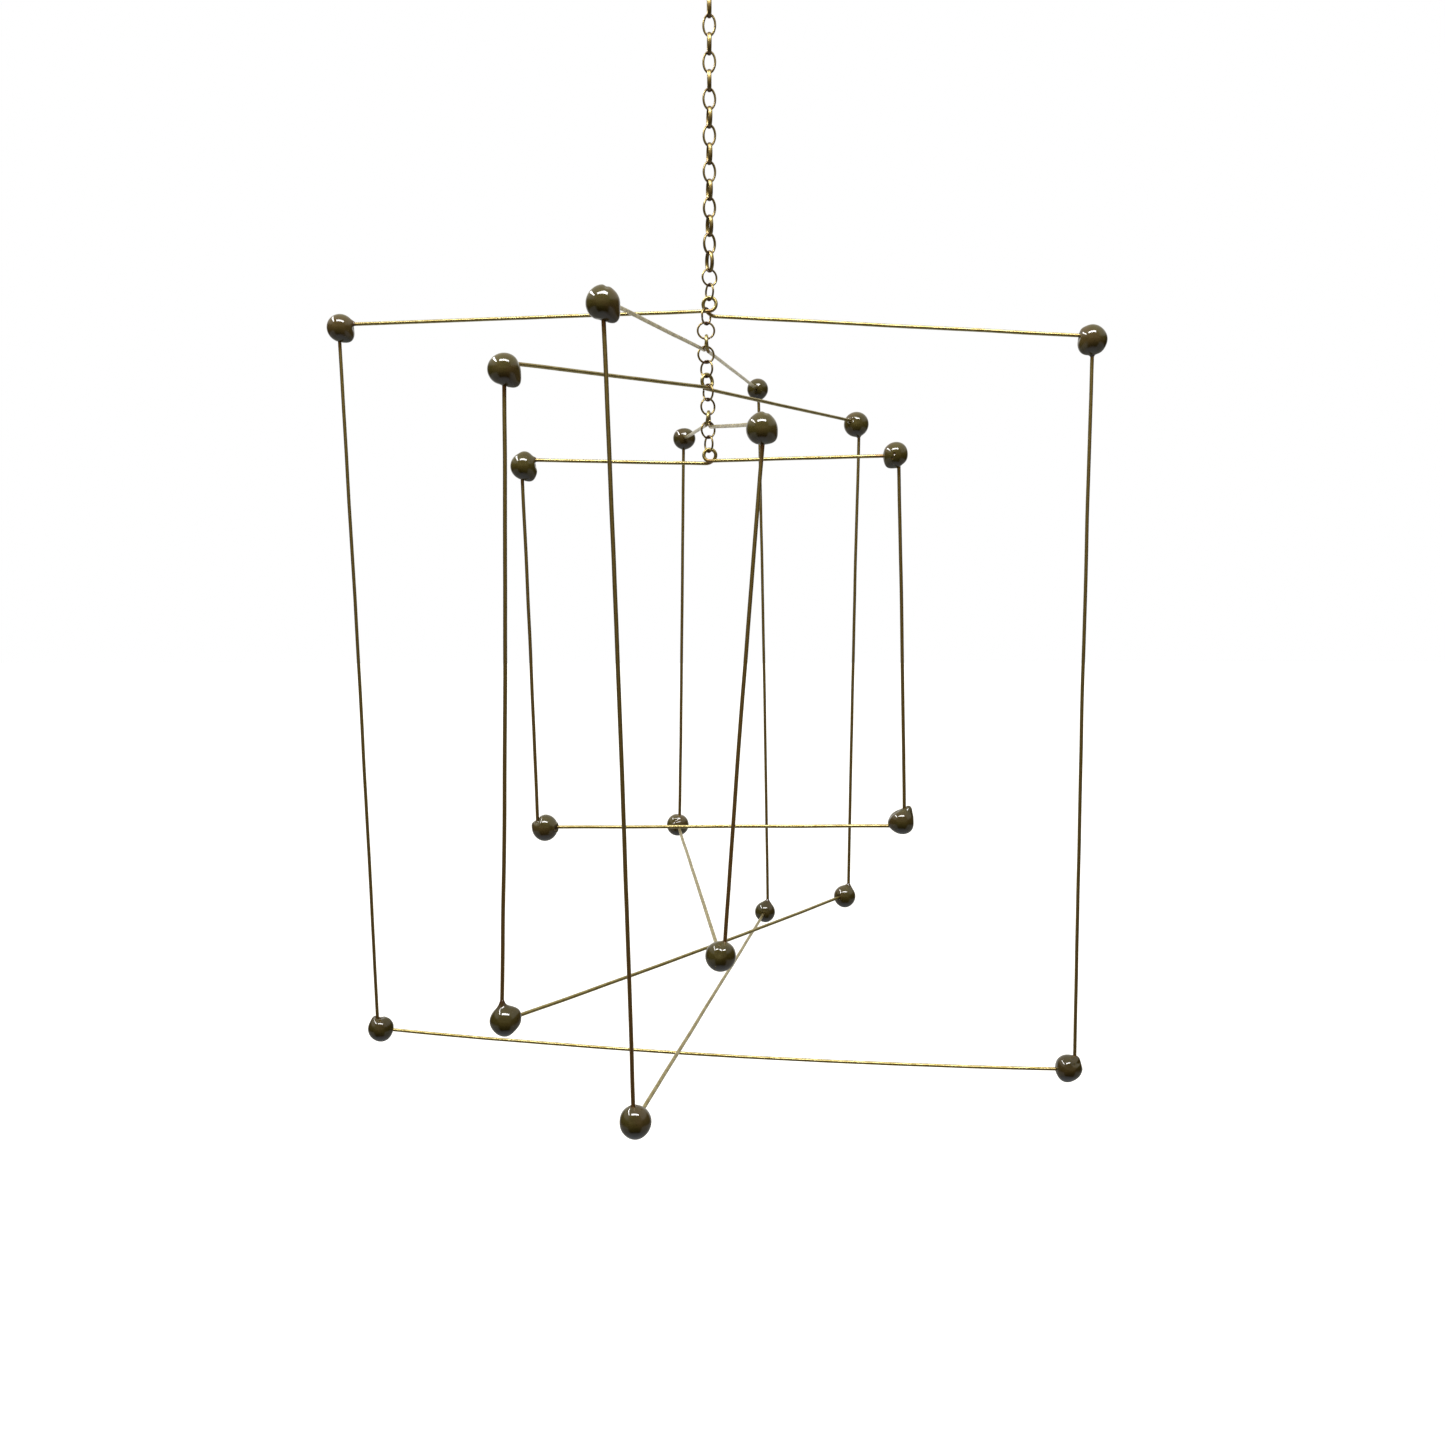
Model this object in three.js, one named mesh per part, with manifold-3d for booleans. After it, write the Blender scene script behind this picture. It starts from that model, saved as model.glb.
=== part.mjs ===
// Hanging mobile: five brass wire frames, one inside the other, with a glazed
// ceramic bead on every corner, hung in one line from a brass chain.
// Millimetres, +Z up. The front faces -Y. The origin is the point inside the
// hanging ring where a ceiling hook bears, and everything hangs below it.

import * as THREE from 'three';
import { mergeVertices } from 'three/addons/utils/BufferGeometryUtils.js';
import Module from 'manifold-3d';

const wasm = await Module();
wasm.setup();

// Clearances
const hangGap = 0.2; // left where one piece hangs on another
const fitGap = 0.3; // around a wire in its bead, and at its end
const strandGap = 0.2; // between the two strands that cross under an eye

// Frame wire
const wireDiameter = 1.6;
const wireSides = 6;
const socketWall = 0.6; // clay left between the two holes of a bead

// Eye in the middle of each top wire
const eyeStart = -90; // degrees, where the straight arm meets the eye
const eyeEnd = 220; // degrees, where the eye leaves for the lower arm
const eyeSteps = 10;
const armBend = 2.2; // length of the bend into the lower arm, on each side of its corner

// Round jump rings, two above each frame
const ringWire = 0.9;
const ringBore = 6.5;
const ringSides = 5;
const ringSteps = 12;

// Oval chain links, of flattened wire
const linkWire = 1.0; // seen from the front of a link
const linkBand = 1.8; // seen from its side
const linkLength = 7.5; // inside length
const linkWidth = 4.1; // inside width
const linkCount = 17;
const linkBite = 0.08; // how far two touching links are pressed together
const linkSides = 4;
const linkSteps = 8;
const chainTwist = 30; // degrees that the chain has turned at its lower end

// Hanging ring at the top
const hangRingWire = 2.0;
const hangRingBore = 16.0;
const hangRingSteps = 16;

// Beads
const beadDiameter = 12;

// Outer frame, from bead centre to bead centre
const outerWidth = 333;
const outerHeight = 331;

// How much narrower and shorter each further frame is than the one around it
const secondNarrower = 29;
const secondShorter = 37;
const thirdNarrower = 42;
const thirdShorter = 41;
const fourthNarrower = 47;
const fourthShorter = 48;
const innerNarrower = 47;
const innerShorter = 38;

// How far the middle of each frame's top beads is below its eye
const outerDrop = 12.8;
const secondDrop = 5.8;
const thirdDrop = 9.1;
const fourthDrop = 7.0;
const innerDrop = 2.7;

const secondWidth = outerWidth - secondNarrower;
const secondHeight = outerHeight - secondShorter;
const thirdWidth = secondWidth - thirdNarrower;
const thirdHeight = secondHeight - thirdShorter;
const fourthWidth = thirdWidth - fourthNarrower;
const fourthHeight = thirdHeight - fourthShorter;
const innerWidth = fourthWidth - innerNarrower;
const innerHeight = fourthHeight - innerShorter;

// Each frame has its turn about the chain, seen from above. A corner lists how
// far hand work has moved its bead from the true rectangle (along, across, up),
// how much larger than usual the bead is, where its upright (to the right, seen
// from the front) and its crosswire (up) enter, and its lumps: clock angle seen
// from the front with 0 at the right, height, spread in degrees, and how far it
// is turned to the front. A neck is glaze drawn out along the wire. The bows
// are to the right and up, seen from the front.
const frames = [
  {
    name: 'outer', turn: -7.6, width: outerWidth, height: outerHeight, drop: outerDrop, shift: 0,
    eyeBore: 4.4, armStep: 2.0, hand: 1, strandSide: 1,
    rings: [{ turn: 33, shift: 0 }, { turn: -64, shift: 0 }],
    bows: { left: 0.4, right: -0.6, bottom: -3.3 },
    beads: {
      top_left: {
        moved: [-3.1, -2.9, 5.0], larger: 0.4, upright: -0.7, cross: 1.5,
        lumps: [[-50, 1.5, 24], [0, -0.7, 16], [18, 0.8, 14]], neck: { cross: 1.0 },
      },
      top_right: {
        moved: [-0.4, -0.4, -4.9], larger: 0.2, upright: 0.3, cross: 1.5,
        lumps: [[90, 0.5, 45], [-90, 0.8, 40], [200, 0.9, 20], [176, -0.6, 14]], neck: { upright: 0.8 },
      },
      bottom_left: {
        moved: [2.2, 2.7, 1.3], larger: 0.2, upright: -1.3, cross: -0.2,
        lumps: [[35, 0.5, 25], [125, 0.4, 22], [95, -1.4, 20]],
      },
      bottom_right: {
        moved: [0.4, 0.3, -2.2], larger: 0.8, upright: 3.0, cross: -0.4,
        lumps: [[5, 0.5, 25], [65, 0.4, 16], [120, -0.3, 30]],
      },
    },
  },
  {
    name: 'second', turn: 78.4, width: secondWidth, height: secondHeight, drop: secondDrop, shift: -1.6,
    eyeBore: 4.4, armStep: 0.6, hand: 1, strandSide: -1,
    rings: [{ turn: 60, shift: -1.5 }, { turn: 5, shift: -1.6 }],
    bows: { left: 0.5, right: 0.4, bottom: 0 },
    beads: {
      top_left: {
        moved: [-1.0, 4.2, 0.8], larger: -0.2, upright: 0.1, cross: 1.5,
        lumps: [[-45, 1.5, 34], [100, 0.3, 30], [78, -0.5, 12], [-90, 0.6, 25]],
      },
      top_right: {
        moved: [0.4, 2.7, -0.8], larger: -0.4, upright: 0.4, cross: 0,
        lumps: [[-85, 0.6, 25]],
      },
      bottom_left: {
        moved: [0.7, -4.2, 1.1], larger: 0.2, upright: -0.6, cross: 0,
        lumps: [[-90, 0.4, 30]],
      },
      bottom_right: {
        moved: [-0.1, -2.7, -1.9], larger: -0.4, upright: 1.6, cross: 0,
        lumps: [[75, 1.2, 17], [-35, 0.5, 25]], neck: { upright: 1.2 },
      },
    },
  },
  {
    name: 'third', turn: 54.1, width: thirdWidth, height: thirdHeight, drop: thirdDrop, shift: -1.0,
    eyeBore: 4.2, armStep: 0.4, hand: 1, strandSide: 1,
    rings: [{ turn: 22, shift: -1.6 }, { turn: -47, shift: -1.3 }],
    bows: { left: 0.8, right: -0.3, bottom: -0.9 },
    beads: {
      top_left: {
        moved: [-0.2, -2.1, 2.9], larger: 0.2, upright: -0.2, cross: 2.6,
        lumps: [[-60, 1.6, 22], [-115, -0.7, 24], [85, 0.3, 30]],
      },
      top_right: {
        moved: [0.1, -0.6, -2.9], larger: 0.8, upright: 1.6, cross: 1.5,
        lumps: [[-70, 0.4, 14], [139, -0.5, 14, 60]], neck: { upright: 0.8 },
      },
      bottom_left: {
        moved: [-1.3, 3.7, 3.0], larger: 0.2, upright: -1.5, cross: 0.2,
        lumps: [[48, 0.5, 25], [-40, -0.6, 25], [-90, 0.3, 30]], neck: { upright: 3.6 },
      },
      bottom_right: {
        moved: [-0.9, 2.2, -2.8], larger: -0.2, upright: 2.0, cross: 0.5,
        lumps: [[70, 1.1, 17]], neck: { upright: 1.2 },
      },
    },
  },
  {
    name: 'fourth', turn: -82.7, width: fourthWidth, height: fourthHeight, drop: fourthDrop, shift: -0.7,
    eyeBore: 4.2, armStep: 0.8, hand: 1, strandSide: 1,
    rings: [{ turn: -55, shift: -0.7 }, { turn: 36, shift: -0.8 }],
    bows: { left: 0.2, right: -0.4, bottom: 0 },
    beads: {
      top_left: {
        moved: [0.1, 0.9, 4.3], larger: -0.6, upright: -0.2, cross: 0,
        lumps: [],
      },
      top_right: {
        moved: [0, 6.7, -4.4], larger: 0, upright: 0.6, cross: 2.0,
        lumps: [[-90, 0.5, 40], [80, -0.4, 12]],
      },
      bottom_left: {
        moved: [-0.6, -3.2, 3.5], larger: 0, upright: 1.0, cross: 0,
        lumps: [[80, -0.6, 16]],
      },
      bottom_right: {
        moved: [0, -9.0, -3.2], larger: 0.2, upright: 1.5, cross: 0,
        lumps: [[-40, -0.2, 25]],
      },
    },
  },
  {
    name: 'inner', turn: -8.2, width: innerWidth, height: innerHeight, drop: innerDrop, shift: 0,
    eyeBore: 3.6, armStep: 1.1, hand: -1, strandSide: 1,
    rings: [{ turn: 38, shift: -0.7 }, { turn: -62, shift: -0.4 }],
    bows: { left: 0.2, right: 0.2, bottom: 0 },
    beads: {
      top_left: {
        moved: [-1.9, -1.0, -1.9], larger: 0, upright: -0.8, cross: 2.9,
        lumps: [[22, 1.1, 14], [0, -0.6, 14], [-38, 1.1, 18], [-75, 1.0, 22]], neck: { cross: 0.8 },
      },
      top_right: {
        moved: [-1.2, -1.1, 1.9], larger: -1, upright: 1.6, cross: 0,
        lumps: [[-112, 0.7, 22], [150, 0.2, 25]],
      },
      bottom_left: {
        moved: [4.5, 1.4, -3.7], larger: 0.4, upright: -3.4, cross: 0.2,
        lumps: [[135, -2.0, 18]],
      },
      bottom_right: {
        moved: [4.4, 1.5, 4.0], larger: -0.4, upright: 1.3, cross: -2.2,
        lumps: [[65, 2.4, 15], [125, -1.0, 24], [-20, 0.4, 20], [-90, 0.3, 30]],
      },
    },
  },
];

// Sizes that follow from the ones above
const wireRadius = wireDiameter / 2;
const socketRadius = wireRadius + fitGap;
const wireStop = socketRadius + socketWall + fitGap; // bead centre to wire end
const strandOffset = (wireDiameter + strandGap) / 2;
const strandLift = strandOffset ** 2 / (ringBore - wireDiameter); // a ring rides up on two strands

// Materials
const brassWire = new THREE.MeshStandardMaterial({ color: 0xa98f4e, roughness: 0.35, metalness: 1 });
const brassChain = new THREE.MeshStandardMaterial({ color: 0x9a7f4a, roughness: 0.38, metalness: 1 });
const glaze = new THREE.MeshStandardMaterial({ color: 0x504a36, roughness: 0.12, metalness: 0 });

const up = new THREE.Vector3(0, 0, 1);

function radians(degrees) {
  return THREE.MathUtils.degToRad(degrees);
}

function sine(degrees) {
  return Math.sin(radians(degrees));
}

function cosine(degrees) {
  return Math.cos(radians(degrees));
}

// A curve through hand-placed sections, so that a long straight stretch has
// one step and a tight bend has many.
class WirePath extends THREE.Curve {
  constructor(points) {
    super();
    this.points = points;
  }

  getPoint(t) {
    const place = t * (this.points.length - 1);
    const index = Math.min(Math.floor(place + 1e-6), this.points.length - 2);
    return this.points[index].clone().lerp(this.points[index + 1], place - index);
  }

  getPointAt(u) {
    return this.getPoint(u);
  }

  getTangent(t) {
    const index = Math.round(t * (this.points.length - 1));
    const before = this.points[Math.max(index - 1, 0)];
    const here = this.points[index];
    const after = this.points[Math.min(index + 1, this.points.length - 1)];
    const arriving = here.clone().sub(before).normalize();
    const leaving = after.clone().sub(here).normalize();
    return arriving.add(leaving).normalize();
  }

  getTangentAt(u) {
    return this.getTangent(u);
  }
}

function roundSection(radius, sides) {
  const corners = [];
  for (let i = 0; i < sides; i++) {
    const angle = (360 * i) / sides;
    corners.push(new THREE.Vector2(radius * cosine(angle), radius * sine(angle)));
  }
  return new THREE.Shape(corners);
}

function wireGeometry(points) {
  return new THREE.ExtrudeGeometry(roundSection(wireRadius, wireSides), {
    extrudePath: new WirePath(points),
    steps: points.length - 1,
    bevelEnabled: false,
  });
}

// Joins and cuts
function toSolid(geometry) {
  const bare = geometry.clone();
  bare.deleteAttribute('normal');
  bare.deleteAttribute('uv');
  const merged = mergeVertices(bare, 1e-4);
  return new wasm.Manifold(new wasm.Mesh({
    numProp: 3,
    vertProperties: new Float32Array(merged.attributes.position.array),
    triVerts: new Uint32Array(merged.index.array),
  }));
}

function toGeometry(solid) {
  const { vertProperties, triVerts } = solid.getMesh();
  const geometry = new THREE.BufferGeometry();
  geometry.setAttribute('position', new THREE.BufferAttribute(vertProperties, 3));
  geometry.setIndex(new THREE.BufferAttribute(triVerts, 1));
  geometry.computeVertexNormals();
  return geometry;
}

function piece(name, geometry, material) {
  const mesh = new THREE.Mesh(geometry, material);
  mesh.name = name;
  return mesh;
}

// A cylinder or cone that starts at a point and runs along a direction
function rodFrom(start, direction, startRadius, endRadius, length) {
  const rod = new THREE.CylinderGeometry(endRadius, startRadius, length, wireSides);
  rod.translate(0, length / 2, 0);
  rod.applyQuaternion(new THREE.Quaternion().setFromUnitVectors(new THREE.Vector3(0, 1, 0), direction));
  rod.translate(start.x, start.y, start.z);
  return rod;
}

// A move to the right, seen from the front, in the turned frame's own axes
function toTheRight(distance, turn) {
  return new THREE.Vector3(distance * cosine(turn), -distance * sine(turn), 0);
}

// Beads
function beadCentre(frame, corner) {
  const [along, across, rise] = frame.beads[corner].moved;
  const side = corner.endsWith('left') ? -1 : 1;
  const level = corner.startsWith('top') ? -frame.drop : -frame.drop - frame.height;
  return new THREE.Vector3((side * frame.width) / 2 + along, across, level + rise);
}

function bodyDiameter(bead) {
  return beadDiameter + bead.larger;
}

function beadGeometry(bead, turn) {
  const lumps = bead.lumps.map(([clock, height, spread, forward = 0]) => {
    const seen = new THREE.Vector3(
      cosine(clock) * cosine(forward),
      -sine(forward),
      sine(clock) * cosine(forward),
    );
    return { towards: seen.applyAxisAngle(up, radians(-turn)), height, spread: radians(spread) };
  });
  const geometry = new THREE.OctahedronGeometry(1, 3);
  const position = geometry.attributes.position;
  const point = new THREE.Vector3();
  for (let i = 0; i < position.count; i++) {
    point.fromBufferAttribute(position, i).normalize();
    let radius = bodyDiameter(bead) / 2;
    for (const lump of lumps) {
      radius += lump.height * Math.exp(-((point.angleTo(lump.towards) / lump.spread) ** 2));
    }
    point.multiplyScalar(radius);
    position.setXYZ(i, point.x, point.y, point.z);
  }
  return geometry;
}

// The bead with a blind hole for each of its two wires, and any neck of glaze
// that runs out along a wire. Each wire is given by its end and its direction.
function drilledBead(frame, corner, upright, cross) {
  const bead = frame.beads[corner];
  const body = bodyDiameter(bead);
  const centre = beadCentre(frame, corner);
  let solid = toSolid(beadGeometry(bead, frame.turn));
  const wires = { upright, cross };
  for (const [kind, reach] of Object.entries(bead.neck ?? {})) {
    const start = wires[kind].end.clone().sub(centre);
    const length = body / 2 - wireStop + reach;
    const neck = rodFrom(start, wires[kind].direction, body / 3, socketRadius + fitGap, length);
    solid = solid.add(toSolid(neck));
  }
  for (const { end, direction } of Object.values(wires)) {
    const start = end.clone().sub(centre).addScaledVector(direction, -fitGap);
    const hole = rodFrom(start, direction, socketRadius, socketRadius, body * 2);
    solid = solid.subtract(toSolid(hole));
  }
  const mesh = piece(`${frame.name}_${corner}_bead`, toGeometry(solid), glaze);
  mesh.position.copy(centre);
  return mesh;
}

// Wires. An upright enters its bead from above or below, a crosswire from the side.
function uprightEnd(frame, corner) {
  const end = beadCentre(frame, corner);
  end.add(toTheRight(frame.beads[corner].upright, frame.turn));
  end.z += corner.startsWith('top') ? -wireStop : wireStop;
  return end;
}

function crossEnd(frame, corner) {
  const end = beadCentre(frame, corner);
  end.z += frame.beads[corner].cross;
  end.x += corner.endsWith('left') ? wireStop : -wireStop;
  return end;
}

function bowedPoints(start, end, bow, steps) {
  const middle = start.clone().add(end).multiplyScalar(0.5).addScaledVector(bow, 2);
  return new THREE.QuadraticBezierCurve3(start, middle, end).getPoints(steps);
}

// The top wire: a straight arm to the foot of the eye, once round the eye, and
// out behind the first arm through a bend into the other, lower arm.
function topWirePoints(frame) {
  const radius = (frame.eyeBore + wireDiameter) / 2;
  const loop = [];
  for (let i = 0; i <= eyeSteps; i++) {
    const share = i / eyeSteps;
    const angle = eyeStart + (eyeEnd - eyeStart) * share;
    loop.push(new THREE.Vector3(
      frame.hand * radius * cosine(angle),
      -frame.strandSide * strandOffset * Math.cos(Math.PI * share),
      radius * sine(angle),
    ));
  }
  const sides = frame.hand > 0 ? ['top_left', 'top_right'] : ['top_right', 'top_left'];
  const armEnds = sides.map((corner) => crossEnd(frame, corner));
  const leaving = loop[eyeSteps];
  const lowerLevel = -radius - frame.armStep;
  const run = ((leaving.z - lowerLevel) * -sine(eyeEnd)) / -cosine(eyeEnd);
  const corner = new THREE.Vector3(leaving.x + frame.hand * run, leaving.y, lowerLevel);
  const outward = armEnds[1].clone().sub(corner).normalize();
  const bendEnd = corner.clone().addScaledVector(outward, armBend);
  const bend = new THREE.QuadraticBezierCurve3(leaving, corner, bendEnd).getPoints(4);
  return [armEnds[0], ...loop, ...bend.slice(1), armEnds[1]];
}

function endsOf(points) {
  const last = points.length - 1;
  return [
    { end: points[0], direction: points[1].clone().sub(points[0]).normalize() },
    { end: points[last], direction: points[last - 1].clone().sub(points[last]).normalize() },
  ];
}

function buildFrame(frame) {
  const group = new THREE.Group();
  const rightBow = (distance) => toTheRight(distance, frame.turn);
  const left = bowedPoints(
    uprightEnd(frame, 'top_left'), uprightEnd(frame, 'bottom_left'), rightBow(frame.bows.left), 2);
  const right = bowedPoints(
    uprightEnd(frame, 'top_right'), uprightEnd(frame, 'bottom_right'), rightBow(frame.bows.right), 2);
  const bottom = bowedPoints(
    crossEnd(frame, 'bottom_left'), crossEnd(frame, 'bottom_right'),
    new THREE.Vector3(0, 0, frame.bows.bottom), 5);
  const top = topWirePoints(frame);
  for (const [side, points] of Object.entries({ top, left, right, bottom })) {
    group.add(piece(`${frame.name}_${side}_wire`, wireGeometry(points), brassWire));
  }
  const [leftTop, leftFoot] = endsOf(left);
  const [rightTop, rightFoot] = endsOf(right);
  const [bottomLeft, bottomRight] = endsOf(bottom);
  const topEnds = endsOf(top);
  const [topLeft, topRight] = frame.hand > 0 ? topEnds : topEnds.reverse();
  group.add(drilledBead(frame, 'top_left', leftTop, topLeft));
  group.add(drilledBead(frame, 'top_right', rightTop, topRight));
  group.add(drilledBead(frame, 'bottom_left', leftFoot, bottomLeft));
  group.add(drilledBead(frame, 'bottom_right', rightFoot, bottomRight));
  group.rotation.z = radians(frame.turn);
  return group;
}

// Rings and links stand upright, facing the front at turn 0
function ringGeometry(bore, wire, sides, steps) {
  const geometry = new THREE.TorusGeometry((bore + wire) / 2, wire / 2, sides, steps);
  geometry.rotateX(Math.PI / 2);
  return geometry;
}

// A link is a ring of flattened wire drawn out to an oval
function linkGeometry() {
  const geometry = ringGeometry(linkWidth, linkWire, linkSides, linkSteps);
  const position = geometry.attributes.position;
  const stretch = (linkLength - linkWidth) / 2;
  for (let i = 0; i < position.count; i++) {
    const x = position.getX(i);
    const z = position.getZ(i);
    position.setY(i, (position.getY(i) * linkBand) / linkWire);
    position.setZ(i, z + (stretch * z) / Math.hypot(x, z));
  }
  return geometry;
}

// The links above the jump rings, joined where they bear on each other
function chainSolid(topCentre) {
  let solid = null;
  for (let i = 0; i < linkCount; i++) {
    const share = i / (linkCount - 1);
    const turn = 90 * (i + 1) + chainTwist * share ** 2;
    const link = linkGeometry();
    link.rotateZ(radians(turn));
    link.translate(0, 0, topCentre - i * (linkLength + linkBite));
    solid = solid ? solid.add(toSolid(link)) : toSolid(link);
  }
  return solid;
}

const mobile = new THREE.Group();

// Hung from the top down. The seat is the height of the surface that the next
// piece hangs on.
const hangRing = piece(
  'hanging_ring', ringGeometry(hangRingBore, hangRingWire, wireSides, hangRingSteps), brassChain);
hangRing.position.z = -hangRingBore / 2;
mobile.add(hangRing);
let seat = -hangRingBore;

const firstLink = seat + hangGap - linkLength / 2;
mobile.add(piece('hanging_chain', toGeometry(chainSolid(firstLink)), brassChain));
seat = firstLink - (linkCount - 1) * (linkLength + linkBite) - linkLength / 2;

for (const frame of frames) {
  for (const [index, level] of ['upper', 'lower'].entries()) {
    const { turn, shift } = frame.rings[index];
    const ring = piece(
      `${frame.name}_${level}_jump_ring`, ringGeometry(ringBore, ringWire, ringSides, ringSteps), brassChain);
    ring.position.set(shift, 0, seat + hangGap - ringBore / 2);
    ring.rotation.z = radians(turn);
    mobile.add(ring);
    seat += hangGap - ringBore;
  }
  const group = buildFrame(frame);
  group.position.set(frame.shift, 0, seat + hangGap - frame.eyeBore / 2);
  mobile.add(group);
  seat += hangGap - frame.eyeBore + strandLift;
}

export default mobile;
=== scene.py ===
# Hanging mobile: five brass wire frames with a glazed bead on every corner,
# hung one inside the other from a chain. Metres, +Z up, the front faces -Y.

import math

import bmesh
import bpy
import numpy as np
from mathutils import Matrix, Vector


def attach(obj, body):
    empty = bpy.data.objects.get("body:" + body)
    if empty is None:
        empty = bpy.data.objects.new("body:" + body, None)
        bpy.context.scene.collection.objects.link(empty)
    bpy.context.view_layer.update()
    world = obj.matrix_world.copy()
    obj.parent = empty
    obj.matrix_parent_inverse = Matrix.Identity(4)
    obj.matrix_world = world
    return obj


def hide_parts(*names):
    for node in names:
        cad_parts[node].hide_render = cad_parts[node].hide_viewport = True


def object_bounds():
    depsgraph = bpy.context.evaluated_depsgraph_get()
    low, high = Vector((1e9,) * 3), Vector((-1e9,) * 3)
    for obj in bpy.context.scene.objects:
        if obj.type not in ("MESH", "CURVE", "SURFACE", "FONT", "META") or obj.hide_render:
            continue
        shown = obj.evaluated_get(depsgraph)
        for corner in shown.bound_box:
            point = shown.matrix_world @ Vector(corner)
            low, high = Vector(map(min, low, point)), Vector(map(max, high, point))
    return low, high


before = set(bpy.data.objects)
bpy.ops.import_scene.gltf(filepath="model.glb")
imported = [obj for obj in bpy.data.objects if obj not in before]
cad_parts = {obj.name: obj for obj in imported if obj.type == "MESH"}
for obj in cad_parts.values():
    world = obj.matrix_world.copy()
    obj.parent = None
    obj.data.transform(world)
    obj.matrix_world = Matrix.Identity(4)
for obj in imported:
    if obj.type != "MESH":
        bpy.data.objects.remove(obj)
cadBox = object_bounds()
scene = bpy.context.scene
mm = 0.001
print("frame loaded:", len(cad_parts), "nodes")


# node helpers
class Signal:  # one output of a node, so that maths on it reads as maths
    def __init__(self, graph, socket):
        self.graph = graph
        self.socket = socket

    def combined(self, operation, first, second):
        return self.graph.add("ShaderNodeMath", {"operation": operation}, {0: first, 1: second})

    def __add__(self, other):
        return self.combined("ADD", self, other)

    def __radd__(self, other):
        return self.combined("ADD", other, self)

    def __sub__(self, other):
        return self.combined("SUBTRACT", self, other)

    def __rsub__(self, other):
        return self.combined("SUBTRACT", other, self)

    def __mul__(self, other):
        return self.combined("MULTIPLY", self, other)

    def __rmul__(self, other):
        return self.combined("MULTIPLY", other, self)

    def __truediv__(self, other):
        return self.combined("DIVIDE", self, other)

    def __pow__(self, other):
        return self.combined("POWER", self, other)


class Graph:
    def __init__(self, tree):
        self.tree = tree
        tree.nodes.clear()

    def add(self, kind, settings={}, values={}, output=0):  # settings first, then values or links
        node = self.tree.nodes.new(kind)
        for name, value in settings.items():
            if name == "stops":
                ramp = node.color_ramp
                while len(ramp.elements) > 1:
                    ramp.elements.remove(ramp.elements[-1])
                for i, (place, colour) in enumerate(value):
                    stop = ramp.elements[0] if i == 0 else ramp.elements.new(place)
                    stop.position = place
                    stop.color = (*colour, 1)
            else:
                setattr(node, name, value)
        for name, value in values.items():
            socket = self.find(node.inputs, name)
            if isinstance(value, Signal):
                self.tree.links.new(value.socket, socket)
            else:
                socket.default_value = value
        node.location = (220 * len(self.tree.nodes), 0)
        return Signal(self, self.find(node.outputs, output))

    def find(self, sockets, name):
        if isinstance(name, int):
            return sockets[name]
        return next((s for s in sockets if s.identifier == name), None) or sockets[name]

    def other(self, signal, name):  # another output of the same node
        return Signal(self, self.find(signal.socket.node.outputs, name))

    def mixed(self, share, first, second):
        settings = {"data_type": "RGBA"}
        values = {"Factor_Float": share, "A_Color": first, "B_Color": second}
        return self.add("ShaderNodeMix", settings, values, "Result_Color")

    def ranged(self, value, low, high, toLow=0.0, toHigh=1.0):
        settings = {"interpolation_type": "SMOOTHSTEP"}
        values = {"Value": value, "From Min": low, "From Max": high, "To Min": toLow, "To Max": toHigh}
        return self.add("ShaderNodeMapRange", settings, values)


def colour(red, green, blue):
    return (red, green, blue, 1)


def newFinish(name):
    finish = bpy.data.materials.new(name)
    finish.use_nodes = True
    return finish, Graph(finish.node_tree)


def closeFinish(graph, values):
    shader = graph.add("ShaderNodeBsdfPrincipled", {}, values)
    output = graph.tree.nodes.new("ShaderNodeOutputMaterial")
    graph.tree.links.new(shader.socket, output.inputs["Surface"])


def noise(graph, place, scale, detail, roughness=0.5):
    values = {"Vector": place, "Scale": scale, "Detail": detail, "Roughness": roughness}
    return graph.add("ShaderNodeTexNoise", {}, values)


def attribute(graph, name):
    return graph.add("ShaderNodeAttribute", {"attribute_name": name}, {}, "Fac")


def bumped(graph, height, distance, strength):
    values = {"Height": height, "Distance": distance, "Strength": strength}
    return graph.add("ShaderNodeBump", {}, values)


# camera, stage and light
cameraSizes = {
    "lens": 35.48,
    "sensor": 36.0,
    "place": (0, -0.65085, -0.25475),
    "lookDown": 8.009,
    "lookRight": 0.505,
    "nearest": 0.01,
}

stageSizes = {
    "floorLevel": -1.5,
    "floorSize": 24.0,
    "middle": (0, 0, -0.33),  # the point that the lights are turned to
    "paint": (0.86, 0.86, 0.86),
    "paintPatch": (0.9, 0.9, 0.9),
    "patchScale": 0.7,
    "roughness": 0.9,
    "glow": 0.75,
}

softboxes = {
    "wide": {"place": (-0.02, -0.56, 0.72), "width": 1.05, "height": 0.25, "power": 20.0},
    "strip": {"place": (-0.75, 0.05, 0.5), "width": 1.0, "height": 0.1, "power": 8.0},
}

studio = {  # what stands round the mobile, as its glaze and wire mirror it
    "front": (0.165, 0.108, 0.045),
    "frontAbove": (0.4, 0.31, 0.17),
    "side": (0.03, 0.02, 0.01),
    "behind": (0.9, 0.89, 0.85),
    "highFront": (0.27, 0.235, 0.165),
    "high": (0.8, 0.775, 0.69),
    "lowFront": (0.025, 0.02, 0.012),
    "lowSide": (0.42, 0.42, 0.39),
    "table": (0.5, 0.53, 0.57),
}

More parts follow.
